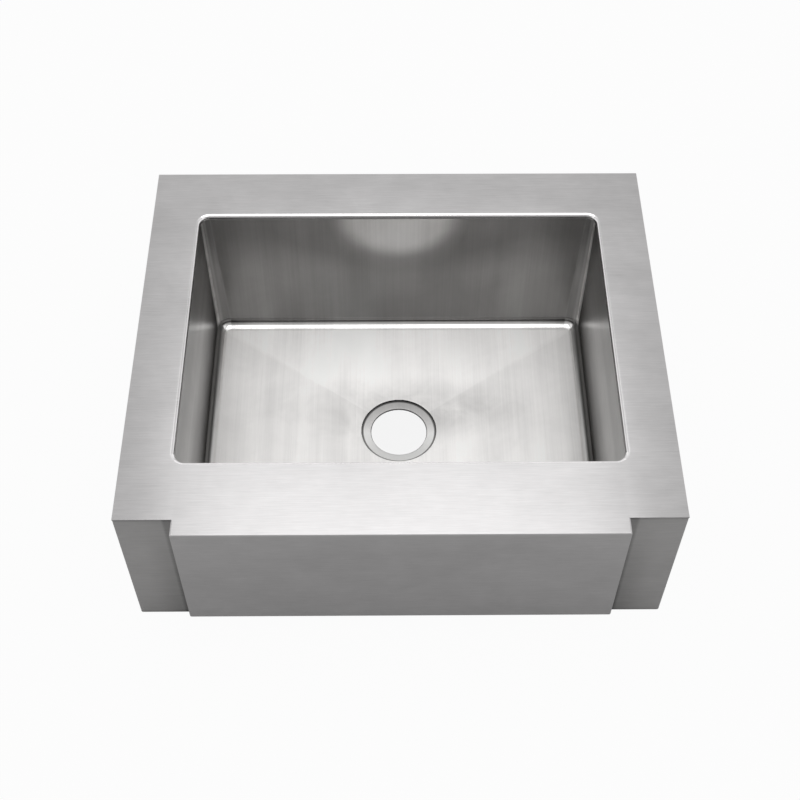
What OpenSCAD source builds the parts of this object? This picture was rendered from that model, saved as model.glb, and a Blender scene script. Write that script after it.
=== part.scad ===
// Apron front sink, welded from brushed stainless sheet.
// Origin: middle of the footprint, at the lowest point. X runs along the apron, Y to the back, Z up.

/* [Overall] */
// Width from the outer edge of one wing to the other
sink_width = 762; // [660:1:900]
// Depth of the deck, from the faces of the wings to the back edge
deck_depth = 641; // [560:1:720]
// Height of the wings, from the top of the deck to their bottom edges
wing_height = 262; // [235:1:320]
// Width of each wing beside the apron
wing_width = 77.5; // [60:0.5:110]
// How far the apron stands in front of the wings
apron_projection = 25; // [18:0.5:50]
// Height of the apron, from the top of the deck to its bottom edge
apron_height = 229.5; // [190:0.5:232]

/* [Sheet] */
// Thickness of the stainless sheet
sheet = 1.5; // [1:0.1:1.9]
// Outside radius of every folded edge
bend_radius = 2.5; // [2.2:0.1:5]

/* [Bowl] */
// Ledge between the bowl and each side edge of the deck
side_ledge = 73; // [60:0.5:110]
// Ledge between the faces of the wings and the bowl
front_ledge = 92; // [80:0.5:130]
// Ledge between the bowl and the back edge
back_ledge = 92; // [70:0.5:130]
// Depth from the top of the deck to the foot of the walls
bowl_depth = 253.5; // [246:0.5:290]
// Radius of the rolled lip round the opening
lip_radius = 5; // [3:0.5:8]
// Radius of the upright corners at the top of the bowl
corner_radius = 15; // [10:0.5:30]
// Radius where the walls turn into the floor
floor_radius = 16; // [10:0.5:30]
// How far each side wall leans in between the lip and the floor
side_lean = 2.5; // [0:0.5:10]
// How far the front and back walls lean in between the lip and the floor
end_lean = 7; // [0:0.5:12]
// How far the creased floor falls from the foot of the walls to the drain
floor_fall = 2.5; // [1:0.5:6]

/* [Drain] */
// Diameter of the drain hole
drain_d = 89; // [80:0.5:96]
// Diameter of the pressed recess round the drain hole
recess_d = 120; // [112:0.5:140]
// Step down from the floor to the seat of the recess
recess_step = 1.9; // [1:0.1:4]
// Fall of the seat towards the hole
seat_fall = 1; // [0.5:0.1:3]
// Outside radius of the rolled edge of the hole
rim_radius = 2; // [2:0.1:4]
// Straight lip below the rolled edge
rim_lip = 1.1; // [0.6:0.1:4]

/* [Wings] */
// Depth of the return folded back at the outer edge of each wing
return_depth = 40; // [25:1:60]
// Depth of the foot folded back at the bottom of each wing
foot_depth = 18; // [10:1:30]
// Distance between the two screw holes in each return
return_hole_spacing = 150; // [80:1:180]

/* [Apron] */
// Depth of the tray folded back at the bottom of the apron
tray_depth = 22; // [12:0.5:40]
// Length of the brace behind the apron
brace_length = 520; // [300:1:540]
// Width of the strips that tie the apron to the bowl
stay_width = 40; // [20:1:60]
// Distance from the middle of the sink to each strip
stay_x = 180; // [80:1:220]
// Height of the foot of each strip on the wall of the bowl
stay_foot = 30; // [15:1:40]

/* [Stiffeners] */
// Leg of the folded angles under the ledges
angle_leg = 25; // [15:0.5:30]
// Distance from the edge of the deck to the upright leg of an angle
ledge_inset = 6; // [3:0.5:12]
// Width of the crown of the hat channels
hat_crown = 28; // [15:0.5:32]
// Width of each flange of the hat channels
hat_flange = 12; // [8:0.5:14]
// Height of the hat channel under the front ledge
channel_height = 20; // [10:0.5:30]
// Height of the hat channel behind the apron
brace_height = 12; // [6:0.5:14]
// Length of the channel under the front ledge
channel_length = 560; // [300:1:580]
// Depth of the gussets along the deck
gusset_depth = 60; // [30:1:75]
// Height of the gussets down the wing
gusset_height = 150; // [80:1:200]
// Diameter of the screw holes
screw_hole_d = 6; // [4:0.5:8]
// Distance between the two screw holes in each side angle
side_hole_spacing = 360; // [200:1:400]
// Distance between the two screw holes in the back angle
back_hole_spacing = 500; // [300:1:580]

/* [Sound deadening] */
// Thickness of the sprayed undercoat
coat = 1; // [0.5:0.1:2]
// Bare band between the lip and the undercoat, and round the drain
coat_margin = 8; // [4:0.5:20]
// Thickness of the rubber pads
pad = 3; // [1.5:0.1:4]
// Length of the pads on the front and back walls
end_pad_length = 420; // [200:1:480]
// Length of the pads on the side walls
side_pad_length = 280; // [150:1:330]
// Height of the pads on the walls
wall_pad_height = 150; // [60:1:155]
// Distance from the lip down to the wall pads
wall_pad_drop = 25; // [10:1:35]
// Length of each floor pad, along X
floor_pad_length = 170; // [100:1:180]
// Width of each floor pad, along Y
floor_pad_width = 120; // [60:1:130]
// Length of each pad behind the apron
apron_pad_length = 200; // [100:1:230]
// Height of each pad behind the apron
apron_pad_height = 60; // [30:1:62]

/* [Welds] */
// Leg of the weld beads
bead = 1.5; // [1:0.1:2]
// Length of each stitch of weld
stitch = 16; // [8:0.5:18]

/* [Hidden] */

$fn = 96;
// Sides of the round ends that the walls of the bowl are stretched over
hull_sides = 32;
// How far a cut runs past the face that it opens
overrun = 1;
// Room between a stiffener and the next piece along
stiffener_gap = 3;

// Places of the stitches, as shares of the run they lie on
ledge_stitch_shares = [0.08, 0.29, 0.5, 0.71, 0.92];
wing_stitch_shares = [0.24, 0.76];
gusset_stitch_shares = [0.3, 0.65];
// Middle of each floor pad, as shares of the half floor
floor_pad_shares = [0.55, 0.5];
// Middle of each apron pad, as a share of half the apron
apron_pad_share = 0.45;

steel_colour = [0.74, 0.74, 0.75];
stiffener_colour = [0.6, 0.61, 0.62];
coat_colour = [0.45, 0.46, 0.47];
rubber_colour = [0.12, 0.12, 0.13];
weld_colour = [0.5, 0.48, 0.45];

half_width = sink_width / 2;
front_y = -(deck_depth + apron_projection) / 2;
wing_y = front_y + apron_projection;
back_y = wing_y + deck_depth;
apron_half = half_width - wing_width;

bowl_fall = floor_fall + recess_step + seat_fall + rim_radius + rim_lip;
deck_top = max(wing_height, bowl_depth + bowl_fall);
deck_under = deck_top - sheet;
wing_bottom = deck_top - wing_height;
apron_bottom = deck_top - apron_height;

bowl_half_x = half_width - side_ledge;
bowl_half_y = (deck_depth - front_ledge - back_ledge) / 2;
bowl_y = wing_y + front_ledge + bowl_half_y;
lip_base = deck_top - lip_radius;
floor_z = deck_top - bowl_depth;
floor_half_x = bowl_half_x - side_lean - floor_radius;
floor_half_y = bowl_half_y - end_lean - floor_radius;
// Height over which the walls of the bowl are straight
wall_run = lip_base - sheet - floor_z - floor_radius;
end_slope = end_lean / wall_run;

hole_r = drain_d / 2;
recess_r = recess_d / 2;
drain_z = floor_z - floor_fall;
seat_z = drain_z - recess_step;
seat_inner_z = seat_z - seat_fall;
rim_bottom = seat_inner_z - rim_radius - rim_lip;
rim_r = hole_r + rim_radius;
rim_z = seat_inner_z - rim_radius;

angle_front_y = wing_y + sheet + gusset_depth + stiffener_gap;
angle_back_y = back_y - ledge_inset - angle_leg;
angle_hole_z = deck_under - (angle_leg + sheet) / 2;
channel_y = (wing_y + bowl_y - bowl_half_y) / 2;
hat_width = hat_crown + 2 * hat_flange;
brace_z = (deck_top + apron_bottom) / 2;
gusset_x = apron_half + (wing_width - sheet) / 2;
stay_z = apron_bottom + sheet;
wall_pad_top = lip_base - wall_pad_drop;
// Middle of the plain stretch between the brace and the tray
apron_pad_z = (brace_z - hat_width / 2 + stay_z + sheet) / 2;

// Quarter of a folded sheet, seen along the fold, in the first quadrant
module quarter_fold(radius) {
    intersection() {
        difference() {
            circle(r = radius);
            circle(r = radius - sheet);
        }
        square(radius);
    }
}

// Rectangle with rounded corners, given by half its width and length
module rounded_rectangle(half_x, half_y, radius) {
    square([2 * half_x, 2 * (half_y - radius)], center = true);
    square([2 * (half_x - radius), 2 * half_y], center = true);
    for (x = [-1, 1], y = [-1, 1])
        translate([x * (half_x - radius), y * (half_y - radius)])
            circle(r = radius);
}

// Runs an outline along X, its first axis along Y and its second along Z
module along_x(length) {
    rotate([90, 0, 90])
        linear_extrude(height = length, center = true)
            children();
}

// Runs an outline along Y, its first axis along X and its second along Z
module along_y(length) {
    rotate([90, 0, 0])
        linear_extrude(height = length, center = true)
            children();
}

// Both sides of the sink, made from the piece on the +X side
module both_sides() {
    for (side = [0, 1])
        mirror([side, 0, 0])
            children();
}

// Flat sheet of the deck, short of the folds of the apron
module deck_sheet() {
    tongue_half = apron_half - bend_radius;
    tongue_y = front_y + bend_radius;
    translate([0, 0, deck_under])
        linear_extrude(height = sheet)
            difference() {
                union() {
                    translate([0, (wing_y + back_y) / 2])
                        rounded_rectangle(half_width, deck_depth / 2, bend_radius);
                    translate([-tongue_half, tongue_y])
                        square([2 * tongue_half, wing_y + sheet - tongue_y]);
                }
                translate([0, bowl_y])
                    rounded_rectangle(bowl_half_x + lip_radius, bowl_half_y + lip_radius,
                        corner_radius + lip_radius);
            }
}

// Section of the rolled lip, out from the face of the wall and up from the top of the wall
module lip_section() {
    translate([lip_radius, 0])
        mirror([1, 0])
            quarter_fold(lip_radius);
}

// Lip that rolls from the deck down into the bowl
module rolled_lip() {
    straight_x = 2 * (bowl_half_x - corner_radius);
    straight_y = 2 * (bowl_half_y - corner_radius);
    translate([0, bowl_y, lip_base])
        for (turn = [0, 180]) {
            rotate([0, 0, turn]) {
                translate([bowl_half_x, 0, 0])
                    along_y(straight_y)
                        lip_section();
                translate([0, bowl_half_y, 0])
                    along_x(straight_x)
                        lip_section();
            }
            for (side = [0, 1])
                rotate([0, 0, turn])
                    mirror([side, 0, 0])
                        translate([bowl_half_x - corner_radius, bowl_half_y - corner_radius, 0])
                            rotate_extrude(angle = 90)
                                translate([corner_radius, 0])
                                    lip_section();
        }
}

// Folds and ball corner along one end of the apron, at the top or upside down at the bottom
module apron_edge() {
    side_length = apron_projection - bend_radius;
    along_x(2 * (apron_half - bend_radius))
        mirror([1, 0])
            quarter_fold(bend_radius);
    both_sides()
        translate([apron_half - bend_radius, 0, 0]) {
            mirror([0, 1, 0])
                rotate_extrude(angle = 90)
                    quarter_fold(bend_radius);
            translate([0, side_length / 2, 0])
                along_y(side_length)
                    quarter_fold(bend_radius);
        }
}

// Apron: front, side returns and tray, folded from one sheet with the deck
module apron_box() {
    panel_height = apron_height - 2 * bend_radius;
    panel_z = apron_bottom + bend_radius;
    fold_y = front_y + bend_radius;
    inner_half = apron_half - bend_radius;
    translate([-inner_half, front_y, panel_z])
        cube([2 * inner_half, sheet, panel_height]);
    translate([-inner_half, fold_y, apron_bottom])
        cube([2 * inner_half, tray_depth - bend_radius, sheet]);
    translate([0, fold_y, deck_top - bend_radius])
        apron_edge();
    translate([0, fold_y, panel_z])
        mirror([0, 0, 1])
            apron_edge();
    both_sides() {
        translate([apron_half - sheet, fold_y, panel_z])
            cube([sheet, wing_y - fold_y, panel_height]);
        translate([inner_half, fold_y, panel_z])
            linear_extrude(height = panel_height)
                mirror([0, 1])
                    quarter_fold(bend_radius);
    }
}

module deck_and_apron() {
    color(steel_colour) {
        deck_sheet();
        rolled_lip();
        apron_box();
    }
}

// Right wing: front panel, return at the outer edge and foot at the bottom
module wing() {
    panel_x = apron_half - sheet;
    fold_x = half_width - bend_radius;
    fold_y = wing_y + bend_radius;
    hole_y = (fold_y + wing_y + return_depth) / 2;
    color(steel_colour)
        difference() {
            union() {
                translate([0, 0, wing_bottom])
                    linear_extrude(height = wing_height - sheet) {
                        translate([panel_x, wing_y])
                            square([fold_x - panel_x, sheet]);
                        translate([fold_x, fold_y])
                            mirror([0, 1])
                                quarter_fold(bend_radius);
                        translate([half_width - sheet, fold_y])
                            square([sheet, return_depth - bend_radius]);
                    }
                translate([panel_x, wing_y, wing_bottom])
                    cube([fold_x - panel_x, sheet + foot_depth, sheet]);
            }
            for (z = [-1, 1] * return_hole_spacing / 2)
                translate([fold_x, hole_y, wing_bottom + wing_height / 2 + z])
                    rotate([0, 90, 0])
                        cylinder(d = screw_hole_d, h = bend_radius + overrun);
        }
}

module left_wing() {
    mirror([1, 0, 0])
        wing();
}

module right_wing() {
    wing();
}

// Creased underside of the bowl: two shallow troughs that cross, falling to the drain
module creased_floor(grow) {
    translate([0, bowl_y, floor_z - grow])
        intersection() {
            along_y(2 * floor_half_y)
                trough_section(floor_half_x);
            along_x(2 * floor_half_x)
                trough_section(floor_half_y);
        }
}

module trough_section(half) {
    polygon([[-half, floor_radius], [half, floor_radius], [half, 0], [0, -floor_fall], [-half, 0]]);
}

// Solid shape of the bowl, grown outwards from its inner face and raised above the end of the lip
module bowl_body(grow, rise = 0) {
    translate([0, bowl_y, 0])
        hull()
            for (x = [-1, 1], y = [-1, 1]) {
                translate([x * (bowl_half_x - corner_radius), y * (bowl_half_y - corner_radius),
                        lip_base - sheet])
                    cylinder(r = corner_radius + grow, h = sheet + rise, $fn = hull_sides);
                translate([x * floor_half_x, y * floor_half_y, floor_z + floor_radius])
                    floor_corner(floor_radius + grow);
            }
    creased_floor(grow);
}

// Lower half of a ball, for the corners of the floor
module floor_corner(radius) {
    rotate_extrude($fn = hull_sides)
        intersection() {
            circle(r = radius, $fn = hull_sides);
            translate([0, -radius])
                square(radius);
        }
}

// Half outline of the drain's outer face: recess, sloping seat, rolled rim and its lip
module drain_outline() {
    seat_r = recess_r + sheet;
    translate([0, seat_z - sheet])
        square([seat_r, drain_z - seat_z + sheet]);
    polygon([[0, seat_z - sheet], [seat_r, seat_z - sheet], [rim_r, seat_inner_z - sheet],
        [0, seat_inner_z - sheet]]);
    rim_outline(rim_radius - sheet);
    translate([0, rim_bottom])
        square([hole_r + sheet, rim_lip]);
}

// Half outline of the space through the drain
module drain_space_outline() {
    translate([0, seat_z])
        square([recess_r, bowl_depth / 2]);
    polygon([[0, seat_z], [recess_r, seat_z], [rim_r, seat_inner_z], [0, seat_inner_z]]);
    rim_outline(rim_radius);
    translate([0, rim_bottom - overrun])
        square([hole_r, rim_lip + overrun]);
}

// Half outline of what the rolled rim leaves inside it
module rim_outline(radius) {
    difference() {
        translate([0, rim_z])
            square([rim_r, radius]);
        translate([rim_r, rim_z])
            circle(r = radius);
    }
}

module bowl() {
    color(steel_colour)
        difference() {
            union() {
                bowl_body(sheet);
                translate([0, bowl_y, 0])
                    rotate_extrude()
                        drain_outline();
            }
            bowl_body(0, overrun);
            translate([0, bowl_y, 0])
                rotate_extrude()
                    drain_space_outline();
        }
}

// Sprayed coat over the outside of the bowl, masked at the lip, the drain and the welded strips
module undercoat() {
    color(coat_colour)
        difference() {
            bowl_body(sheet + coat);
            bowl_body(sheet);
            translate([-half_width, wing_y, lip_base - coat_margin])
                cube([sink_width, deck_depth, deck_top]);
            translate([0, bowl_y, drain_z - sheet - coat - overrun])
                cylinder(r = recess_r + sheet + coat_margin, h = bowl_depth / 2);
            both_sides()
                stay_window();
        }
}

// Right ledge angle: flat leg under the deck, upright leg near its edge
module side_angle() {
    length = angle_back_y - angle_front_y;
    color(stiffener_colour)
        difference() {
            translate([half_width - ledge_inset, (angle_front_y + angle_back_y) / 2, deck_under])
                along_y(length)
                    mirror([1, 0])
                        angle_section();
            for (y = [-1, 1] * side_hole_spacing / 2)
                translate([half_width - ledge_inset - sheet - overrun,
                        (angle_front_y + angle_back_y) / 2 + y, angle_hole_z])
                    rotate([0, 90, 0])
                        cylinder(d = screw_hole_d, h = sheet + 2 * overrun);
        }
}

// Section of a ledge angle, in from its upright leg and down from the deck
module angle_section() {
    translate([0, -sheet])
        square([angle_leg, sheet]);
    translate([0, -angle_leg])
        square([sheet, angle_leg]);
}

module left_ledge_angle() {
    mirror([1, 0, 0])
        side_angle();
}

module right_ledge_angle() {
    side_angle();
}

module back_ledge_angle() {
    color(stiffener_colour)
        difference() {
            translate([0, back_y - ledge_inset, deck_under])
                along_x(sink_width - 2 * ledge_inset)
                    mirror([1, 0])
                        angle_section();
            for (x = [-1, 1] * back_hole_spacing / 2)
                translate([x, back_y - ledge_inset + overrun, angle_hole_z])
                    rotate([90, 0, 0])
                        cylinder(d = screw_hole_d, h = sheet + 2 * overrun);
        }
}

// Section of a hat channel, standing up from the face that its flanges lie on
module hat_section(height) {
    for (side = [0, 1])
        mirror([side, 0]) {
            translate([hat_crown / 2 - sheet, 0])
                square([sheet, height]);
            translate([hat_crown / 2 - sheet, 0])
                square([hat_flange + sheet, sheet]);
        }
    translate([-hat_crown / 2, height - sheet])
        square([hat_crown, sheet]);
}

module front_ledge_channel() {
    color(stiffener_colour)
        translate([0, channel_y, deck_under])
            along_x(channel_length)
                mirror([0, 1])
                    hat_section(channel_height);
}

module apron_brace() {
    color(stiffener_colour)
        translate([0, front_y + sheet, brace_z])
            along_x(brace_length)
                rotate(-90)
                    hat_section(brace_height);
}

// Right gusset: corner plate between the back of the wing and the underside of the deck
module wing_gusset() {
    color(stiffener_colour)
        translate([gusset_x, wing_y + sheet, deck_under])
            along_x(sheet)
                polygon([[0, 0], [gusset_depth, 0], [gusset_depth, -angle_leg],
                    [angle_leg, -gusset_height], [0, -gusset_height]]);
}

module left_wing_gusset() {
    mirror([1, 0, 0])
        wing_gusset();
}

module right_wing_gusset() {
    wing_gusset();
}

// Place of the outer face of the bowl's front wall at a height
function front_wall_y(z) = bowl_y - bowl_half_y - sheet + (lip_base - sheet - z) * end_slope;

// Strip from the tray of the apron to the bowl, with its foot folded up against the wall
module apron_stay() {
    strip_y = front_y + bend_radius;
    foot_z = stay_z + stay_foot;
    fold_z = stay_z + sheet;
    color(stiffener_colour)
        translate([stay_x, 0, 0])
            along_x(stay_width)
                polygon([[strip_y, stay_z], [front_wall_y(stay_z), stay_z], [front_wall_y(foot_z), foot_z],
                    [front_wall_y(foot_z) - sheet, foot_z], [front_wall_y(fold_z) - sheet, fold_z],
                    [strip_y, fold_z]]);
}

// Window in the undercoat for the foot of a strip
module stay_window() {
    window = [stay_width + 2 * coat, 2 * (end_lean + sheet + coat), stay_foot + 2 * coat];
    translate([stay_x, front_wall_y(stay_z), stay_z + stay_foot / 2])
        cube(window, center = true);
}

module left_apron_stay() {
    mirror([1, 0, 0])
        apron_stay();
}

module right_apron_stay() {
    apron_stay();
}

// Rubber against the coat of the bowl, kept where the children lie
module bowl_pad() {
    color(rubber_colour)
        intersection() {
            difference() {
                bowl_body(sheet + coat + pad);
                bowl_body(sheet + coat);
            }
            children();
        }
}

module floor_pads() {
    reach = floor_radius + pad;
    bowl_pad()
        for (x = [-1, 1], y = [-1, 1])
            translate([x * floor_half_x * floor_pad_shares[0], bowl_y + y * floor_half_y * floor_pad_shares[1],
                    drain_z])
                cube([floor_pad_length, floor_pad_width, 2 * reach], center = true);
}

// Block that holds the pad of the +X wall
module side_pad_block() {
    reach = side_lean + sheet + coat + pad + overrun;
    translate([bowl_half_x - reach, bowl_y - side_pad_length / 2, wall_pad_top - wall_pad_height])
        cube([2 * reach, side_pad_length, wall_pad_height]);
}

module left_wall_pad() {
    bowl_pad()
        mirror([1, 0, 0])
            side_pad_block();
}

module right_wall_pad() {
    bowl_pad()
        side_pad_block();
}

// Block that holds the pad of the back wall, or of the front wall when side is -1
module end_pad_block(side) {
    reach = end_lean + sheet + coat + pad + overrun;
    translate([0, bowl_y + side * bowl_half_y, wall_pad_top - wall_pad_height / 2])
        cube([end_pad_length, 2 * reach, wall_pad_height], center = true);
}

module back_wall_pad() {
    bowl_pad()
        end_pad_block(1);
}

module front_wall_pad() {
    bowl_pad()
        end_pad_block(-1);
}

module apron_pads() {
    color(rubber_colour)
        both_sides()
            translate([apron_half * apron_pad_share, front_y + sheet + pad / 2, apron_pad_z])
                cube([apron_pad_length, pad, apron_pad_height], center = true);
}

// Section of a weld bead in an inside corner, in the first quadrant
module bead_section() {
    intersection() {
        circle(r = bead);
        square(bead);
    }
}

// Stitches that hold each wing to the deck, and each gusset to both
module wing_welds() {
    panel_x = apron_half - sheet;
    panel_width = wing_width + sheet - bend_radius;
    inner_y = wing_y + sheet;
    color(weld_colour)
        both_sides() {
            for (share = wing_stitch_shares)
                translate([panel_x + panel_width * share, inner_y, deck_under])
                    along_x(stitch)
                        mirror([0, 1])
                            bead_section();
            for (share = gusset_stitch_shares) {
                translate([gusset_x + sheet / 2, inner_y + gusset_depth * share, deck_under])
                    along_y(stitch)
                        mirror([0, 1])
                            bead_section();
                translate([gusset_x + sheet / 2, inner_y, deck_under - gusset_height * share - stitch / 2])
                    linear_extrude(height = stitch)
                        bead_section();
            }
        }
}

// Stitches along the flat legs of the angles and the flanges of the front channel
module ledge_welds() {
    side_length = angle_back_y - angle_front_y;
    back_length = sink_width - 2 * ledge_inset;
    color(weld_colour) {
        both_sides()
            for (share = ledge_stitch_shares)
                translate([half_width - ledge_inset - angle_leg, angle_front_y + side_length * share, deck_under])
                    along_y(stitch)
                        rotate(180)
                            bead_section();
        for (share = ledge_stitch_shares) {
            translate([(share - 0.5) * (back_length - 2 * angle_leg - 2 * bead), angle_back_y, deck_under])
                along_x(stitch)
                    rotate(180)
                        bead_section();
            for (side = [0, 1])
                translate([(share - 0.5) * channel_length, channel_y, deck_under])
                    mirror([0, side, 0])
                        translate([0, hat_width / 2, 0])
                            along_x(stitch)
                                mirror([0, 1])
                                    bead_section();
        }
    }
}

// Stitches along the flanges of the brace behind the apron
module apron_welds() {
    color(weld_colour)
        for (share = ledge_stitch_shares, side = [0, 1])
            translate([(share - 0.5) * brace_length, front_y + sheet, brace_z])
                mirror([0, 0, side])
                    translate([0, 0, hat_width / 2])
                        along_x(stitch)
                            bead_section();
}

deck_and_apron();
left_wing();
right_wing();
bowl();
undercoat();
left_ledge_angle();
right_ledge_angle();
back_ledge_angle();
front_ledge_channel();
left_wing_gusset();
right_wing_gusset();
apron_brace();
left_apron_stay();
right_apron_stay();
floor_pads();
left_wall_pad();
right_wall_pad();
back_wall_pad();
front_wall_pad();
apron_pads();
wing_welds();
ledge_welds();
apron_welds();
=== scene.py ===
import math

import bmesh
import bpy
from mathutils import Matrix, Vector


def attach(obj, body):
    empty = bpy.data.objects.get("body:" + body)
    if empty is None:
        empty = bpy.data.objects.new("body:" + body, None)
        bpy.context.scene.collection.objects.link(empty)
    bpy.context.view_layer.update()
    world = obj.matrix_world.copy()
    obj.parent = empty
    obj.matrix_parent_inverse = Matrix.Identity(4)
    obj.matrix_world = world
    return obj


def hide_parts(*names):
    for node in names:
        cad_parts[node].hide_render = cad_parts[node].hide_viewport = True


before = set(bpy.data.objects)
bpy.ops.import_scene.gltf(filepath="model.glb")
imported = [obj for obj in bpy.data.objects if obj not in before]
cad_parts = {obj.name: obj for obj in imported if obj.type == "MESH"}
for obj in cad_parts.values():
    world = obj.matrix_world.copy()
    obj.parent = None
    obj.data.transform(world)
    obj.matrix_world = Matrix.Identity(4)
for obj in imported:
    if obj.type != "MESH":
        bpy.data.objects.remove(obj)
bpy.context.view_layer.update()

scene = bpy.context.scene

# Deck and apron. One sheet of 1.5 mm stainless steel: the flat deck with the rolled lip of the bowl
# opening, folded down at the front into the apron, which has side returns and a short tray at the bottom.
# It is brushed along its width, and its folds are left as the press made them.

SHEET = 0.0015
BEND = 0.0025
BEND_STEPS = 6
HALF_WIDTH = 0.381
WING_Y = -0.308
BACK_Y = 0.333
DECK_Z = 0.262
APRON_HALF = 0.3035
APRON_Y = -0.333
APRON_Z = 0.0325
TRAY_DEPTH = 0.022
BOWL_Y = 0.0125
LIP_RADIUS = 0.006
LIP_STEPS = 8
OPENING_HALF = (0.308, 0.2285)
OPENING_CORNER = 0.015
CORNER_STEPS = 14
QUARTER = math.pi / 2
# Corners nearer than a seam are welded into one, and places nearer than close count as the same
SEAM = 0.00002
CLOSE = 0.000001
DECK_COLOUR = (0.572, 0.563, 0.564)
SHEET_ROUGH = 0.31
SHEET_BRUSH_DEPTH = 0.000003
BRUSH_STRETCH = 0.7
# Where painted shade darkens the sheet: up its lower edge, and across, down and under the deck on the wings
BOTTOM_EDGE_SHADE = (0.0, 0.010)
WING_SHADE = (APRON_HALF + 0.006, APRON_HALF + 0.055)
WING_SEAM_SHADE = (APRON_HALF + 0.009, APRON_HALF + 0.014)
WING_FADE = (0.02, 0.24)
UNDER_DECK_SHADE = (DECK_Z - 0.007, DECK_Z - 0.002)
# How far a face has to turn to count as a side
SIDE_FACE = 0.75


def each_once(items):
    """A list without repeats, in the order in which they come."""
    return list(dict.fromkeys(items))


def corners_of(edges):
    """The corners of a row of edges, each once."""
    return each_once(v for e in edges for v in e.verts)


def only_edges(geometry):
    """The edges among what an operator made."""
    return [part for part in geometry if isinstance(part, bmesh.types.BMEdge)]


def picked(parts, test):
    """Those edges or faces whose corners all pass a test."""
    return [part for part in parts if all(test(v.co) for v in part.verts)]


def extrude(bm, edges):
    """Doubles a row of edges, with faces between, and gives back its new end."""
    return only_edges(bmesh.ops.extrude_edge_only(bm, edges=edges)["geom"])


def push(bm, edges, move):
    """Draws a row of edges out by a straight move, and gives back its new end."""
    out = extrude(bm, edges)
    bmesh.ops.translate(bm, verts=corners_of(out), vec=Vector(move))
    return out


def spin(bm, parts, centre, axis, angle, steps=BEND_STEPS):
    """Rolls parts round a bend, and gives back what lies at its new end."""
    return bmesh.ops.spin(bm, geom=parts, cent=Vector(centre), axis=Vector(axis), angle=angle, steps=steps,
                          use_merge=False, use_duplicate=False)["geom_last"]


def fold(bm, edges, centre, axis, angle, steps=BEND_STEPS):
    """Rolls a row of edges round a bend, and gives back its new end."""
    return only_edges(spin(bm, list(edges) + corners_of(edges), centre, axis, angle, steps))


def rectangle(bm, half, y, z):
    """A flat rectangle, as its four corners."""
    verts = bmesh.ops.create_grid(bm, x_segments=1, y_segments=1, size=1.0)["verts"]
    size = Matrix.Diagonal((half[0], half[1], 1, 1))
    bmesh.ops.transform(bm, verts=verts, matrix=Matrix.Translation((0, y, z)) @ size)
    return verts


def widened(half, corner, out):
    """A section, which is a rounded rectangle's half sizes and corner radius, moved out all round."""
    return (half[0] + out, half[1] + out), corner + out


def set_section(loop, old, new, z):
    """Moves a rounded rectangle over the bowl from one section to another, at a height."""
    (old_half, old_corner), (new_half, new_corner) = old, new
    for v in corners_of(loop):
        side = Vector((math.copysign(1, v.co.x), math.copysign(1, v.co.y - BOWL_Y)))
        was = Vector((side.x * (old_half[0] - old_corner), BOWL_Y + side.y * (old_half[1] - old_corner)))
        now = Vector((side.x * (new_half[0] - new_corner), BOWL_Y + side.y * (new_half[1] - new_corner)))
        v.co = (now + (v.co.xy - was).normalized() * new_corner).to_3d() + Vector((0, 0, z))


def rounded_loop(bm, section, z):
    """A rectangle with round corners over the bowl, as a closed row of edges."""
    half, corner = section
    made = bmesh.ops.bevel(bm, geom=rectangle(bm, half, BOWL_Y, z), offset=corner, offset_type="OFFSET",
                           affect="VERTICES", segments=CORNER_STEPS, profile=0.5, material=-1)
    verts = set(made["verts"])
    loop = [e for e in bm.edges if e.verts[0] in verts and e.verts[1] in verts]
    faces = [f for f in bm.faces if set(f.verts) <= verts]
    bmesh.ops.delete(bm, geom=faces, context="FACES_ONLY")
    set_section(loop, section, section, z)
    return loop


def draw_down(bm, loop, section, path):
    """Draws a rounded rectangle down a path of sections and heights."""
    for new_section, z in path:
        loop = extrude(bm, loop)
        set_section(loop, section, new_section, z)
        section = new_section


def turn_faces(bm, way):
    """Turns the faces to one side of the sheet, the side that mostly looks the given way."""
    bmesh.ops.recalc_face_normals(bm, faces=bm.faces)
    if sum(f.normal.dot(Vector(way)) * f.calc_area() for f in bm.faces) < 0:
        bmesh.ops.reverse_faces(bm, faces=bm.faces)


def finish_piece(name, bm, slot, material, *nodes, thickness=None):
    """Puts a finished mesh in the place of its CAD nodes. A bent sheet gets its thickness here."""
    for face in bm.faces:
        face.smooth = True
    mesh = bpy.data.meshes.new(name)
    bm.to_mesh(mesh)
    bm.free()
    mesh.materials.append(material)
    piece = bpy.data.objects.new(name, mesh)
    scene.collection.objects.link(piece)
    if thickness:
        solid = piece.modifiers.new("thickness", "SOLIDIFY")
        solid.thickness = thickness
        solid.offset = -1
        solid.use_even_offset = True
    piece.modifiers.new("flat faces stay flat", "WEIGHTED_NORMAL").keep_sharp = True
    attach(piece, "root")
    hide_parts(*nodes)


def sheet_metal(name, bm, slot, material, node):
    """Welds the seams of a bent or drawn sheet and finishes it."""
    bmesh.ops.remove_doubles(bm, verts=bm.verts, dist=SEAM)
    finish_piece(name, bm, slot, material, node, thickness=SHEET)


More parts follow.
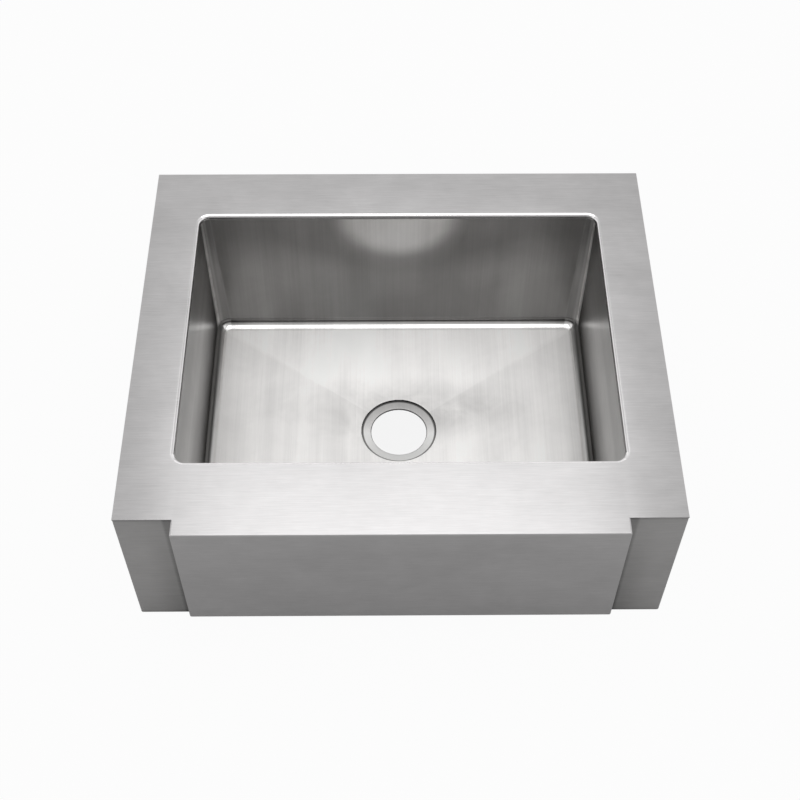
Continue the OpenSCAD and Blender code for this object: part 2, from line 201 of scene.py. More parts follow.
def build_deck():
    """The outer face of the deck, the lip and the apron, in one sheet."""
    bm = bmesh.new()
    # The fold profile of the apron, from the deck down to the tray, at the left end of the front
    inner_half, inner_y = APRON_HALF - BEND, APRON_Y + BEND
    start = bmesh.ops.create_vert(bm, co=(-inner_half, inner_y, DECK_Z))["vert"][0]
    rolled = spin(bm, [start], (-inner_half, inner_y, DECK_Z - BEND), (1, 0, 0), QUARTER)
    end = [part for part in rolled if isinstance(part, bmesh.types.BMVert)][0]
    low = bmesh.ops.extrude_vert_indiv(bm, verts=[end])["verts"][0]
    low.co.z = APRON_Z + BEND
    spin(bm, [low], (-inner_half, inner_y, APRON_Z + BEND), (1, 0, 0), QUARTER)
    profile = list(bm.edges)
    # Sweep it across the front, then back along both sides
    front = push(bm, profile, (2 * inner_half, 0, 0))
    for edges, x, turn in ((front, inner_half, QUARTER), (profile, -inner_half, -QUARTER)):
        push(bm, fold(bm, edges, (x, inner_y, 0), (0, 0, 1), turn), (0, WING_Y - inner_y, 0))
    foot = picked(bm.edges, lambda co: abs(co.z - APRON_Z) < CLOSE and abs(co.y - inner_y) < CLOSE)
    push(bm, [e for e in foot if e.is_boundary], (0, TRAY_DEPTH - BEND, 0))
    # Lip: rolled from the deck down to the wall of the bowl
    outer = widened(OPENING_HALF, OPENING_CORNER, LIP_RADIUS)
    loop = rounded_loop(bm, outer, DECK_Z)
    turns = [QUARTER * step / LIP_STEPS for step in range(1, LIP_STEPS + 1)]
    draw_down(bm, loop, outer, [(widened(OPENING_HALF, OPENING_CORNER, LIP_RADIUS * (1 - math.sin(turn))),
                                 DECK_Z - LIP_RADIUS * (1 - math.cos(turn))) for turn in turns])
    # Deck: its outline, the tongue that runs to the fold, and the flat sheet round the opening
    middle = (WING_Y + BACK_Y) / 2
    verts = rectangle(bm, (HALF_WIDTH, BACK_Y - middle), middle, DECK_Z)
    outline = each_once(e for v in verts for e in v.link_edges)
    bmesh.ops.delete(bm, geom=list(verts[0].link_faces), context="FACES_ONLY")
    for x in (-APRON_HALF, -inner_half, inner_half, APRON_HALF):
        cut = bmesh.ops.bisect_plane(bm, geom=outline + corners_of(outline), plane_co=(x, 0, 0),
                                     plane_no=(1, 0, 0))
        outline = only_edges(cut["geom"])
    neck = picked(outline, lambda co: abs(co.y - WING_Y) < CLOSE and abs(co.x) < inner_half + CLOSE)
    push(bm, neck, (0, inner_y - WING_Y, 0))
    bmesh.ops.triangle_fill(bm, edges=outline + loop, use_beauty=True, use_dissolve=False, normal=(0, 0, 1))
    bmesh.ops.remove_doubles(bm, verts=bm.verts, dist=SEAM)
    turn_faces(bm, (0, 0, 1))
    return bm


class Value:
    """A number inside a material. A sum or product with it makes the node that works it out."""

    def __init__(self, socket):
        self.socket = socket
        self.tree = socket.id_data

    def __add__(self, other):
        return calc("ADD", self, other)

    def __radd__(self, other):
        return calc("ADD", other, self)

    def __sub__(self, other):
        return calc("SUBTRACT", self, other)

    def __rsub__(self, other):
        return calc("SUBTRACT", other, self)

    def __mul__(self, other):
        return calc("MULTIPLY", self, other)

    def __truediv__(self, other):
        return calc("DIVIDE", self, other)

    def __pow__(self, other):
        return calc("POWER", self, other)

    def __abs__(self):
        return calc("ABSOLUTE", self)

    def __lt__(self, other):
        return calc("LESS_THAN", self, other)

    def __gt__(self, other):
        return calc("GREATER_THAN", self, other)

    def at_least(self, other):
        return calc("MAXIMUM", self, other)

    def at_most(self, other):
        return calc("MINIMUM", self, other)

    def feeds(self, shader, name):
        """Joins it to an input of a shader."""
        feed(shader.inputs[name], self)


def feed(socket, value):
    """Joins a socket to a value inside the material, or sets it to a number."""
    if isinstance(value, Value):
        value.tree.links.new(value.socket, socket)
    else:
        socket.default_value = value


def calc(kind, *values, clamp=False):
    """One step of arithmetic, on numbers and at least one value of a material."""
    tree = next(value.tree for value in values if isinstance(value, Value))
    node = tree.nodes.new("ShaderNodeMath")
    node.operation = kind
    node.use_clamp = clamp
    for socket, value in zip(node.inputs, values):
        feed(socket, value)
    return Value(node.outputs[0])


def length(a, b):
    """How far two steps at right angles lead."""
    return calc("SQRT", a ** 2.0 + b ** 2.0)


def fade(value, low, high, start=0.0, end=1.0):
    """Runs smoothly from start to end while the value runs from low to high."""
    node = value.tree.nodes.new("ShaderNodeMapRange")
    node.interpolation_type = "SMOOTHSTEP"
    amounts = (("Value", value), ("From Min", low), ("From Max", high), ("To Min", start), ("To Max", end))
    for name, amount in amounts:
        feed(node.inputs[name], amount)
    return Value(node.outputs[0])


def either(choice, a, b):
    """a where the choice is 0, b where it is 1."""
    node = choice.tree.nodes.new("ShaderNodeMix")
    for name, value in (("Factor", choice), ("A", a), ("B", b)):
        feed(node.inputs[name], value)
    return Value(node.outputs["Result"])


def noise(tree, scale, detail=2.0, distortion=0.0):
    """Noise on object coordinates, from 0 to 1. Scale is in cycles a metre, along X, Y and Z or for all."""
    spot = tree.nodes.new("ShaderNodeTexCoord")
    turn = tree.nodes.new("ShaderNodeMapping")
    turn.inputs["Scale"].default_value = scale if isinstance(scale, tuple) else (scale, scale, scale)
    node = tree.nodes.new("ShaderNodeTexNoise")
    node.inputs["Scale"].default_value = 1.0
    node.inputs["Detail"].default_value = detail
    node.inputs["Roughness"].default_value = 0.6
    node.inputs["Distortion"].default_value = distortion
    tree.links.new(spot.outputs["Object"], turn.inputs["Vector"])
    tree.links.new(turn.outputs[0], node.inputs["Vector"])
    return Value(node.outputs["Fac"])


def parts_of(socket):
    """The X, Y and Z of a vector inside a material."""
    split = socket.id_data.nodes.new("ShaderNodeSeparateXYZ")
    socket.id_data.links.new(socket, split.inputs[0])
    return [Value(split.outputs[axis]) for axis in "XYZ"]


def place(tree, kind="Object"):
    """The three coordinates of the spot."""
    return parts_of(tree.nodes.new("ShaderNodeTexCoord").outputs[kind])


def facing(tree, kind="True Normal"):
    """The three parts of the surface direction, of the flat face or of its smoothed shape."""
    return parts_of(tree.nodes.new("ShaderNodeNewGeometry").outputs[kind])


def vector(tree, *parts):
    """A vector put together from its three parts."""
    node = tree.nodes.new("ShaderNodeCombineXYZ")
    for socket, value in zip(node.inputs, parts):
        feed(socket, value)
    return node.outputs[0]


def weigh(*pairs):
    """Adds up each noise's swing about its middle, times its weight."""
    total = 0.0
    for value, weight in pairs:
        total = (value - 0.5) * weight + total
    return total


def new_material(name, metallic=1.0):
    """An empty material: its node tree and its shader."""
    material = bpy.data.materials.new(name)
    material.use_nodes = True
    shader = material.node_tree.nodes["Principled BSDF"]
    shader.inputs["Metallic"].default_value = metallic
    return material, material.node_tree, shader


def tint(shader, colour, factor):
    """Sets the base colour, made lighter or darker by a factor."""
    node = factor.tree.nodes.new("ShaderNodeVectorMath")
    node.operation = "SCALE"
    node.inputs[0].default_value = colour
    feed(node.inputs["Scale"], factor)
    factor.tree.links.new(node.outputs[0], shader.inputs["Base Color"])


def press(shader, height, depth, flatten=None):
    """Presses a height pattern into the surface, its depth in metres. Flatten turns the surface upwards."""
    tree = height.tree
    bump = tree.nodes.new("ShaderNodeBump")
    if flatten is not None:
        kept = 1.0 - flatten
        nx, ny, nz = facing(tree, "Normal")
        unit = tree.nodes.new("ShaderNodeVectorMath")
        unit.operation = "NORMALIZE"
        tree.links.new(vector(tree, nx * kept, ny * kept, nz), unit.inputs[0])
        tree.links.new(unit.outputs[0], bump.inputs["Normal"])
    bump.inputs["Strength"].default_value = 1.0
    bump.inputs["Distance"].default_value = depth
    feed(bump.inputs["Height"], height)
    tree.links.new(bump.outputs["Normal"], shader.inputs["Normal"])


def grain_direction(shader, x, y, z, stretch):
    """Stretches the reflections across the last polish, which runs along the vector x, y, z."""
    tree = shader.id_data
    tree.links.new(vector(tree, x, y, z), shader.inputs["Tangent"])
    shader.inputs["Anisotropic"].default_value = stretch
    shader.inputs["Anisotropic Rotation"].default_value = 0.25


def brushed_sheet(name, colour):
    """Belt brushed stainless sheet: long grain along X, or along Z on the faces that look along X."""
    material, tree, shader = new_material(name)
    nx, ny, nz = facing(tree)
    px, py, pz = place(tree)
    side = abs(nx) > SIDE_FACE

    def grain(long_way, short_way, detail):
        """Noise drawn out along the brushing."""
        return either(side, noise(tree, (long_way, short_way, short_way), detail),
                      noise(tree, (short_way, short_way, long_way), detail))

    fine = grain(34.0, 1300.0, 3.0)
    lines = grain(16.0, 420.0, 3.0)
    bands = grain(5.0, 70.0, 2.0)
    cloud = noise(tree, (9.0, 12.0, 12.0), 3.0, 0.4)
    patch = noise(tree, (34.0, 46.0, 46.0), 2.0)
    tone = 1.0 + weigh((fine, 0.32), (lines, 0.11), (bands, 0.06), (cloud, 0.26), (patch, 0.08))
    # The rolled lip of the opening is polished, with a painted highlight on its roll and painted shade low
    # down, where it meets the wall of the bowl. Its near side is worn flatter than it was rolled.
    lip = abs(px) < OPENING_HALF[0] + LIP_RADIUS
    lip = lip * (abs(py - BOWL_Y) < OPENING_HALF[1] + LIP_RADIUS)
    rolled = lip * fade(nz, 0.94, 0.995, 1.0, 0.0)
    rolled = rolled * either(abs(nx) > abs(ny), 1.0, fade(nz, 0.65, 0.95, 0.6, 0.12))
    near = lip * (ny > 0.05)
    lip_foot_shade = lip * fade(nz, 0.15, 0.48, 1.0, 0.0)
    tone = tone + (rolled * 0.70 - lip_foot_shade * 1.25)
    # Painted shade: the bottom edges darker, and the wings darker beside the apron, along its seam and under
    # the deck
    bottom_edge_shade = fade(pz, *BOTTOM_EDGE_SHADE, 0.16, 0.0)
    painted_wing_shade = fade(abs(px), *WING_SHADE, 0.26, 0.0) * fade(pz, *WING_FADE, 1.0, 0.35)
    painted_wing_shade = painted_wing_shade + fade(abs(px), *WING_SEAM_SHADE, 0.28, 0.0)
    painted_wing_shade = painted_wing_shade + fade(pz, *UNDER_DECK_SHADE, 0.0, 0.22)
    painted_wing_shade = painted_wing_shade * ((ny < -0.7) * (py > WING_Y - 2 * SHEET))
    tone = tone - bottom_edge_shade - painted_wing_shade
    tint(shader, colour, tone.at_least(0.35).at_most(1.74))
    smear = weigh((lines, 0.02), (cloud, 0.10), (bands, 0.03)) - rolled * 0.12
    (smear + SHEET_ROUGH).feeds(shader, "Roughness")
    press(shader, fine + lines, SHEET_BRUSH_DEPTH, near * 0.75)
    grain_direction(shader, 1.0 - side, 0.0, side, BRUSH_STRETCH)
    return material


deck_steel = brushed_sheet("brushed_sheet", DECK_COLOUR)
sheet_metal("sink_deck_and_apron", build_deck(), "brushed_sheet", deck_steel, "deck_and_apron")


# Wings. Two tall panels of the same sheet, set back beside the apron and welded under the deck with a crisp
# ground edge. Each folds back at its outer edge, where two screws hold it to the cabinet, and has a foot.

WING_TOP = DECK_Z - SHEET
RETURN_DEPTH = 0.040
FOOT_DEPTH = 0.0195
FOOT_BEND = 0.0018
FOOT_STEPS = 5
SCREW_HOLE = 0.003
SCREW_Y = -0.28675
SCREW_Z = (0.056, 0.206)
# The wings' sheet is coloured darker than the deck's: painted shade on the set-back wings
WING_SHADED_COLOUR = (0.515, 0.507, 0.503)


def build_wing(side):
    """The outer face of one wing. Side is -1 for the left one and 1 for the right one."""
    bm = bmesh.new()
    panel_x, fold_x, fold_y = APRON_HALF - SHEET, HALF_WIDTH - BEND, WING_Y + BEND
    start = bmesh.ops.create_vert(bm, co=(panel_x, WING_Y, FOOT_BEND))["vert"][0]
    inner = bmesh.ops.extrude_vert_indiv(bm, verts=[start])
    inner["verts"][0].co.z = WING_TOP
    panel = push(bm, inner["edges"], (fold_x - panel_x, 0, 0))
    # Foot: rolled back under the panel
    under = picked(bm.edges, lambda co: abs(co.z - FOOT_BEND) < CLOSE)
    foot = fold(bm, under, (0, WING_Y + FOOT_BEND, FOOT_BEND), (1, 0, 0), QUARTER, FOOT_STEPS)
    push(bm, foot, (0, FOOT_DEPTH - FOOT_BEND, 0))
    # Return, with its two screw holes
    edge = fold(bm, panel, (fold_x, fold_y, 0), (0, 0, 1), QUARTER)
    push(bm, edge, (0, WING_Y + RETURN_DEPTH - fold_y, 0))
    faces = picked(bm.faces, lambda co: abs(co.x - HALF_WIDTH) < CLOSE)
    rim = each_once(e for f in faces for e in f.edges)
    bmesh.ops.delete(bm, geom=faces, context="FACES_ONLY")
    holes = []
    for z in SCREW_Z:
        ring = bmesh.ops.create_circle(bm, cap_ends=False, radius=SCREW_HOLE, segments=24)["verts"]
        stand = Matrix.Translation((HALF_WIDTH, SCREW_Y, z)) @ Matrix.Rotation(QUARTER, 4, "Y")
        bmesh.ops.transform(bm, verts=ring, matrix=stand)
        holes += each_once(e for v in ring for e in v.link_edges)
    bmesh.ops.triangle_fill(bm, edges=rim + holes, use_beauty=True, use_dissolve=False)
    bmesh.ops.scale(bm, verts=bm.verts, vec=(side, 1, 1))
    bmesh.ops.remove_doubles(bm, verts=bm.verts, dist=SEAM)
    turn_faces(bm, (0, -1, 0))
    return bm


wing_steel = brushed_sheet("brushed_wings_shaded", WING_SHADED_COLOUR)
sheet_metal("sink_left_wing", build_wing(-1), "brushed_sheet", wing_steel, "left_wing")
sheet_metal("sink_right_wing", build_wing(1), "brushed_sheet", wing_steel, "right_wing")


# Bowl. Deep drawn from stainless sheet, its walls leaning in a little and rolled into a floor that is
# creased from the corners to the drain, which sits in a pressed recess with a rolled rim. It is brushed down
# the front and back walls, and along Y on the side walls and the floor.

LIP_BASE = DECK_Z - LIP_RADIUS
FLOOR_Z = 0.0085
FLOOR_RADIUS = 0.016
FLOOR_HALF = (0.2895, 0.2055)
FLOOR_CORNER = 0.007
FLOOR_STEPS = 12
DRAIN_Z = 0.006
RECESS_R = 0.060
RECESS_STEPS = 30
RECESS_EASE = 0.0002
HOLE_R = 0.0445
SEAT_Z = 0.0041
SEAT_INNER_Z = 0.0031
RIM_RADIUS = 0.002
RIM_STEPS = 6
BOWL_SEAM = 0.00003
LEVEL = 0.0001
BOWL_COLOUR = (0.945, 0.933, 0.921)
BOWL_BRUSH_DEPTH = 0.000001
DISH_SIDES, DISH_BACK = 0.38, 0.50
# Where painted shade and painted highlights change its colour and edge tint: up the side walls, over the
# back wall and on the seat; and where it is darker round the drain
SIDE_SHADE = (FLOOR_Z + 0.002, FLOOR_Z + 0.15)
SIDE_FOOT_SHADE = (FLOOR_Z + 0.012, FLOOR_Z + 0.050)
SIDE_EDGE_SHADE = (FLOOR_Z + 0.010, FLOOR_Z + 0.16)
BACK_WALL_Y = 0.2
BACK_MIDDLE_SHADE = (0.05, 0.26)
BACK_TOP_SHADE = (-0.13, -0.02)
HIGHLIGHT_OVAL = (0.085, 0.078)
DRAIN_DARK_PATCH = (0.21, 0.065)
DRAIN_DARK_Y = BOWL_Y + 0.04
SEAT_EDGE = RECESS_R + 0.0003
SEAT_SHADE_LINE = (RECESS_R - 0.0042, RECESS_R - 0.0020)
CROSS_POLISH_R = 0.10
# How level a face has to be to count as the floor, or as the lower end of the turn
FLOOR_FACE, TURN_FACE = 0.9995, 0.965


def build_bowl():
    """The inner face of the bowl, from under the lip down to the drain hole."""
    bm = bmesh.new()
    opening = (OPENING_HALF, OPENING_CORNER)
    loop = rounded_loop(bm, opening, LIP_BASE)
    path = [(opening, LIP_BASE - SHEET)]
    for step in range(FLOOR_STEPS + 1):
        turn = QUARTER * step / FLOOR_STEPS
        path.append((widened(FLOOR_HALF, FLOOR_CORNER, FLOOR_RADIUS * math.cos(turn)),
                     FLOOR_Z + FLOOR_RADIUS - FLOOR_RADIUS * math.sin(turn)))
    draw_down(bm, loop, opening, path)
    bmesh.ops.remove_doubles(bm, verts=bm.verts, dist=BOWL_SEAM)
    rim = picked(bm.edges, lambda co: co.z < FLOOR_Z + LEVEL)
    bmesh.ops.contextual_create(bm, geom=[e for e in rim if e.is_boundary])
    low = picked(bm.faces, lambda co: abs(co.z - FLOOR_Z) < LEVEL)
    middle = bmesh.ops.poke(bm, faces=[max(low, key=lambda face: face.calc_area())])["verts"][0]
    middle.co = (0, BOWL_Y, DRAIN_Z)
    for crease in middle.link_edges:
        crease.smooth = False
    # Recess: opened at the middle, then drawn down to the seat, the rolled rim and the hole
    made = bmesh.ops.bevel(bm, geom=[middle], offset=RECESS_R, offset_type="OFFSET", affect="VERTICES",
                           segments=RECESS_STEPS, profile=0.5, material=-1)
    ring = set(made["verts"])
    bmesh.ops.delete(bm, geom=[f for f in bm.faces if set(f.verts) <= ring], context="FACES")
    loop = [e for e in bm.edges if e.is_boundary and max(v.co.z for v in e.verts) < FLOOR_Z]

    def set_ring(edges, radius, level=None, follow=0.0):
        """Sets a ring round the drain to a level, or a little below the creased floor."""
        for v in corners_of(edges):
            out = Vector((v.co.x, v.co.y - BOWL_Y)).normalized() * radius
            rise = max(abs(out.x) / FLOOR_HALF[0], abs(out.y) / FLOOR_HALF[1])
            creased = DRAIN_Z + (FLOOR_Z - DRAIN_Z) * rise
            v.co = (out.x, BOWL_Y + out.y, creased - follow if level is None else level)

    set_ring(loop, RECESS_R + 3 * RECESS_EASE)
    rim_r = HOLE_R + RIM_RADIUS
    path = [(RECESS_R + RECESS_EASE, None, RECESS_EASE / 2), (RECESS_R, None, 2 * RECESS_EASE),
            (RECESS_R, SEAT_Z + 2 * RECESS_EASE, 0), (RECESS_R - RECESS_EASE, SEAT_Z + RECESS_EASE / 2, 0),
            (RECESS_R - 3 * RECESS_EASE, SEAT_Z, 0), (rim_r, SEAT_INNER_Z, 0)]
    for step in range(1, RIM_STEPS + 1):
        turn = QUARTER * step / RIM_STEPS
        drop = RIM_RADIUS * (1 - math.cos(turn))
        path.append((rim_r - RIM_RADIUS * math.sin(turn), SEAT_INNER_Z - drop, 0))
    path.append((HOLE_R, 0.0, 0))
    for radius, level, follow in path:
        loop = extrude(bm, loop)
        set_ring(loop, radius, level, follow)
    turn_faces(bm, (0, 0, 1))
    return bm


def brushed_bowl(name, colour):
    """The bowl's steel, its walls more polished than its floor."""
    material, tree, shader = new_material(name)
    fx, fy, fz = facing(tree)
    nx, ny, nz = facing(tree, "Normal")
    px, py, pz = place(tree)
    side = abs(fx) > SIDE_FACE
    floor = fz > FLOOR_FACE
    from_drain = length(px, py - BOWL_Y)
    seat = from_drain < SEAT_EDGE

    def grain(long_way, short_way, detail):
        """Noise drawn out along the brushing."""
        return either(side, noise(tree, (short_way, long_way, long_way), detail),
                      noise(tree, (short_way, long_way, short_way), detail))

    fine = grain(6.0, 1100.0, 3.0)
    lines = grain(3.0, 330.0, 3.0)
    bands = grain(2.0, 60.0, 2.0)
    broad = grain(3.0, 16.0, 1.0)
    cloud = noise(tree, 13.0, 4.0, 0.4)
    look = weigh((fine, 0.17), (lines, 0.13), (bands, 0.22), (broad, 0.34), (cloud, 0.26)) * (1.0 + side)
    # Painted shade: the walls are darker than the floor, the back and side walls more than the front one,
    # and the side walls turn light later as they roll into it
    leaning = abs(nx)
    sideways = fade(leaning - abs(ny), 0.0, 0.12)

    def later(start, shift):
        """A limit that comes later on the sides."""
        return start + sideways * shift

    shade = fade(nz, later(0.50, 0.20), later(0.80, 0.18), fade(ny, 0.1, 0.9, 0.34, 0.85), 1.0)
    # Painted shade: a dark band in the turn from the walls into the floor
    turn = fade(nz, 0.04, 0.15, 0.0, 0.12) * fade(nz, later(0.50, 0.25), later(0.70, 0.22), 1.0, 0.0)
    shade = shade - turn
    # Painted highlight: each upright corner has a light streak beside the side wall, with painted shade next
    # to it towards the end wall; and painted shade darkens the side walls downwards
    corner_light_and_shade = fade(leaning, 0.76, 0.89, 0.0, 0.58) * fade(leaning, 0.95, 0.99, 1.0, 0.0)
    corner_light_and_shade = corner_light_and_shade - fade(leaning, 0.03, 0.2, 0.0, 0.11) * fade(leaning, 0.5, 0.7, 1.0, 0.0)
    side_wall = fade(leaning, 0.9, 0.98)
    low = fade(pz, *SIDE_SHADE, -0.08, 0.0) * side_wall
    low = low + fade(pz, *SIDE_FOOT_SHADE, -0.03, 0.0) * side_wall
    shade = shade + (corner_light_and_shade + low) * fade(nz, 0.1, 0.3, 1.0, 0.0)
    # Painted highlight: a lighter oval at the top of the back wall; painted shade on the walls outside it,
    # darker near their top and near the middle of the bowl's width
    high = pz - LIP_BASE
    oval = length(px / HIGHLIGHT_OVAL[0], high / HIGHLIGHT_OVAL[1])
    round_oval = fade(oval, 0.8, 1.6)
    oval_highlight = fade(oval, 0.75, 1.2, 0.20, 0.0) * (py > BACK_WALL_Y)
    centre = fade(abs(px), *BACK_MIDDLE_SHADE, -0.10, 0.0) * round_oval
    wall_shade = (fade(high, *BACK_TOP_SHADE, 0.0, -0.12) * round_oval + centre).at_least(-0.14)
    shade = shade + (oval_highlight + wall_shade) * (nz < 0.05)
    # Painted light: each floor panel is made a little lighter or darker by its tilt; and the floor is darker
    # in patches near the drain
    drain_dark = length(px / DRAIN_DARK_PATCH[0], (py - DRAIN_DARK_Y) / DRAIN_DARK_PATCH[1])
    drain_dark = fade(drain_dark, 0.25, 1.2, -0.30, 0.0) * fade(cloud, 0.25, 0.75, 1.0, 0.25)
    panel = calc("MULTIPLY", fy, -5.0, clamp=True) * floor + drain_dark * floor
    # The drain's seat is polished, with a painted highlight at its front and painted shade at its back and
    # along its outer edge
    ring = fade(py, BOWL_Y - RECESS_R, BOWL_Y + RECESS_R, 1.65, 0.40)
    ring = ring * fade(from_drain, *SEAT_SHADE_LINE, 1.0, 0.20)
    shade = (shade + panel) * either(seat, 0.98, ring)
    tint(shader, colour, ((1.0 + look) * shade).at_most(1.07))
    # Painted shade: low on the side walls the edge tint is darkened, so that the steel hardly shines along
    # the surface
    edge = sideways * fade(pz, *SIDE_EDGE_SHADE, 0.6, 0.0)
    (1.0 - edge).feeds(shader, "Specular Tint")
    # Roughness: the flat floor is rougher, and the turn at the sides more than the one at the back
    rough = fade(nz, 0.945, 0.992, 0.13, 0.54) + fade(nz, 0.02, 0.15, 0.16, 0.0)
    rough = rough + sideways * fade(nz, 0.02, 0.2) * fade(nz, 0.60, 0.93, 0.28, 0.45)
    rough = either(seat, rough, 0.34) + weigh((cloud, 0.10), (bands, 0.06)) * floor
    rough.feeds(shader, "Roughness")
    # Behind the drain the floor dishes a little towards it, the back panel more than the two at the sides
    dish = (py - BOWL_Y) ** 2.0 * either(fy < -0.0005, DISH_SIDES, DISH_BACK)
    dish = dish * (1 / BOWL_BRUSH_DEPTH) * (floor * (py > BOWL_Y))
    press(shader, fine + lines + dish, BOWL_BRUSH_DEPTH, sideways * fade(nz, 0.84, 0.965, 0.0, 0.95))
    # The floor's last polish ran along X, and so did that of the lower end of the turn, the recess left out
    flat = ((fz > TURN_FACE) * (from_drain > CROSS_POLISH_R)).at_least(floor)
    grain_direction(shader, flat, fz * -1.0 * (1.0 - flat), fy + abs(fx), BRUSH_STRETCH)
    return material


bowl_steel = brushed_bowl("brushed_bowl", BOWL_COLOUR)
sheet_metal("sink_bowl", build_bowl(), "drawn_bowl", bowl_steel, "bowl")


# Stiffeners. Folded angles under the side and back ledges, a hat channel under the front ledge, a gusset
# behind each wing, and the apron's brace and two stays. All are bent from plain stainless strip with a dull
# mill finish, and are held by short welds.

STRIP_GREY = (0.46, 0.46, 0.47)
GUSSET_GREY = (0.44, 0.44, 0.45)
STRIP_EDGE = 0.0003
MILL_DEPTH = 0.000012
TRACE_SEAM = 0.000005
FLAT_ANGLE = math.radians(0.4)
SHARP_ANGLE = math.radians(35)


def mill_finish(name, colour, along):
    """Unpolished rolled steel: faint rolling lines, dull clouds, a few handling scratches."""
    material, tree, shader = new_material(name)
    lines = noise(tree, tuple(5.0 if axis == along else 300.0 for axis in "XYZ"), 3.0)
    cloud = noise(tree, 22.0, 4.0, 0.6)
    grit = noise(tree, 1600.0)
    scratch = fade(noise(tree, (60.0, 900.0, 160.0), 2.0, 1.5), 0.66, 0.72)
    tint(shader, colour, 1.0 + weigh((lines, 0.20), (cloud, 0.40), (grit, 0.16)) + scratch * 0.22)
    rough = 0.42 + weigh((cloud, 0.26), (lines, 0.08), (grit, 0.10)) - scratch * 0.12
    rough.feeds(shader, "Roughness")
    press(shader, grit + lines - scratch, MILL_DEPTH)
    grain_direction(shader, *(float(along == axis) for axis in "XYZ"), 0.3)
    return material


def traced(node):
    """A copy of a CAD node's mesh, welded, its flat faces in one piece."""
    bm = bmesh.new()
    bm.from_mesh(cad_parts[node].data)
    bmesh.ops.remove_doubles(bm, verts=bm.verts, dist=TRACE_SEAM)
    bmesh.ops.dissolve_limit(bm, angle_limit=FLAT_ANGLE, verts=bm.verts, edges=bm.edges,
                             use_dissolve_boundaries=False)
    return bm


def eased(slot, material, radius, *nodes):
    """The same strips and mats with their cut edges broken, so that they catch the light."""
    for node in nodes:
        bm = traced(node)
        sharp = [e for e in bm.edges if e.is_manifold and e.calc_face_angle() > SHARP_ANGLE]
        bmesh.ops.bevel(bm, geom=sharp, offset=radius, offset_type="OFFSET", affect="EDGES", segments=2,
                        profile=0.5, clamp_overlap=True, material=-1)
        bmesh.ops.recalc_face_normals(bm, faces=bm.faces)
        finish_piece("sink_" + node, bm, slot, material, node)


mill_x = mill_finish("mill_steel_x", STRIP_GREY, "X")
mill_y = mill_finish("mill_steel_y", STRIP_GREY, "Y")
mill_z = mill_finish("mill_steel_z", GUSSET_GREY, "Z")
eased("plain_steel", mill_x, STRIP_EDGE, "back_ledge_angle", "front_ledge_channel", "apron_brace")
eased("plain_steel", mill_y, STRIP_EDGE, "left_ledge_angle", "right_ledge_angle", "left_apron_stay",
      "right_apron_stay")
eased("plain_steel", mill_z, STRIP_EDGE, "left_wing_gusset", "right_wing_gusset")


# Undercoat. A grey sound deadening coat, sprayed over the outside of the bowl, grainy like orange peel and
# thicker in some places than in others.

COAT_GREY = (0.34, 0.35, 0.36)
COAT_EDGE = 0.0004
COAT_DEPTH = 0.0011


def sprayed_coat(name, colour):
    """Grey coat with fine grain, soft lumps and lighter or darker passes of the spray gun."""
    material, tree, shader = new_material(name, 0.0)
    grain = noise(tree, 420.0, 3.0)
    peel = noise(tree, 130.0, 2.0, 0.3)
    passes = noise(tree, (5.0, 16.0, 16.0))
    drift = noise(tree, 30.0, 3.0)
    lumps = fade(noise(tree, 620.0), 0.50, 0.66)
    uneven = weigh((grain, 0.7), (peel, 0.30), (passes, 0.30), (drift, 0.3))
    tint(shader, colour, 0.94 + lumps * 0.22 + uneven)
    (0.78 + weigh((grain, 0.2), (passes, 0.2))).feeds(shader, "Roughness")
    shader.inputs["Specular IOR Level"].default_value = 0.3
    press(shader, grain + lumps + peel * 1.5, COAT_DEPTH)
    return material


eased("sprayed_coat", sprayed_coat("sprayed_coat", COAT_GREY), COAT_EDGE, "undercoat")


# Sound pads. Black rubber mats, 3 mm thick, with a pebbled skin. They are stuck under the floor, on the
# walls of the bowl and behind the apron.

PAD_BLACK = (0.030, 0.030, 0.032)
PAD_EDGE = 0.0009
PEBBLES = 210.0
PEBBLE_DEPTH = 0.0006


def pad_rubber(name, colour):
    """Black rubber, pitted and pebbled, with dust in patches."""
    material, tree, shader = new_material(name, 0.0)
    pits = noise(tree, 900.0)
    skin = noise(tree, 160.0, 3.0, 0.5)
    dust = fade(noise(tree, 18.0, 5.0, 0.8), 0.45, 0.75)
    tint(shader, colour, 1.0 + weigh((pits, 0.6), (skin, 0.4)) + dust * 0.9)
    (0.66 + (dust * 0.2 + weigh((pits, 0.16), (skin, 0.1)))).feeds(shader, "Roughness")
    shader.inputs["Specular IOR Level"].default_value = 0.35
    spot = tree.nodes.new("ShaderNodeTexCoord")
    pebbles = tree.nodes.new("ShaderNodeTexVoronoi")
    pebbles.feature = "SMOOTH_F1"
    pebbles.inputs["Scale"].default_value = PEBBLES
    pebbles.inputs["Smoothness"].default_value = 0.35
    tree.links.new(spot.outputs["Object"], pebbles.inputs["Vector"])
    domes = Value(pebbles.outputs["Distance"]) * -2.0
    press(shader, domes + (pits + skin) * 0.3, PEBBLE_DEPTH)
    return material


eased("rubber_pad", pad_rubber("pad_rubber", PAD_BLACK), PAD_EDGE, "floor_pads", "left_wall_pad",
      "right_wall_pad", "back_wall_pad", "front_wall_pad", "apron_pads")


# Welds. Short beads of steel filler that hold the stiffeners, rippled as each was laid, and tinted straw and
# blue by the heat.

STRAW = (0.46, 0.37, 0.24, 1)
HEAT_BLUE = (0.27, 0.28, 0.35, 1)
WELD_DEPTH = 0.0003
RIPPLE = 0.0018
RIPPLE_CUT = 0.00045
RIPPLE_SHARE = 0.14
SLANT_SHARE = 0.35
BEAD_END = 0.0016
END_SHARE = 0.55


